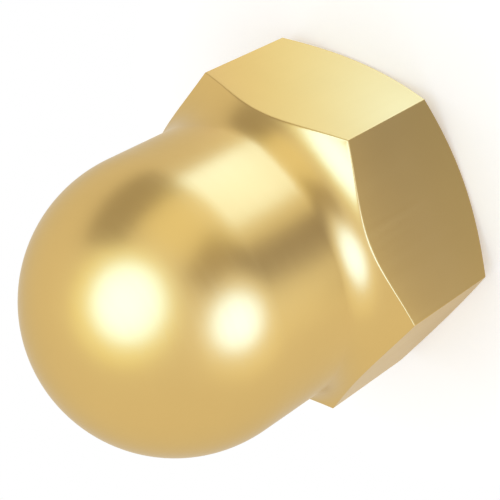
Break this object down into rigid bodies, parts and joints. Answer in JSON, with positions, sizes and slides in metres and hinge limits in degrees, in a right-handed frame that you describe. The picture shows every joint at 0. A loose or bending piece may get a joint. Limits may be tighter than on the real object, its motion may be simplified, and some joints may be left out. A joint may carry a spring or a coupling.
{
  "type": "cap nut",
  "caption": "Domed cap nut: a hexagon with a hollow sweep up to a plain neck and a half-round dome over a blind threaded hole.",
  "frame": {"origin": "centre of the flat bearing face, on the thread's axis", "axes": "+Z along the thread's axis towards the dome; two of the hexagon's corners lie on X and two of its flats face along Y"},
  "size_m": [0.0092, 0.008, 0.0101],
  "materials": {
    "brass": "clean satin brass, turned, milled and lightly tumbled"
  },
  "bodies": {
    "root": {"cap_nut": "brass"}
  },
  "joints": []
}
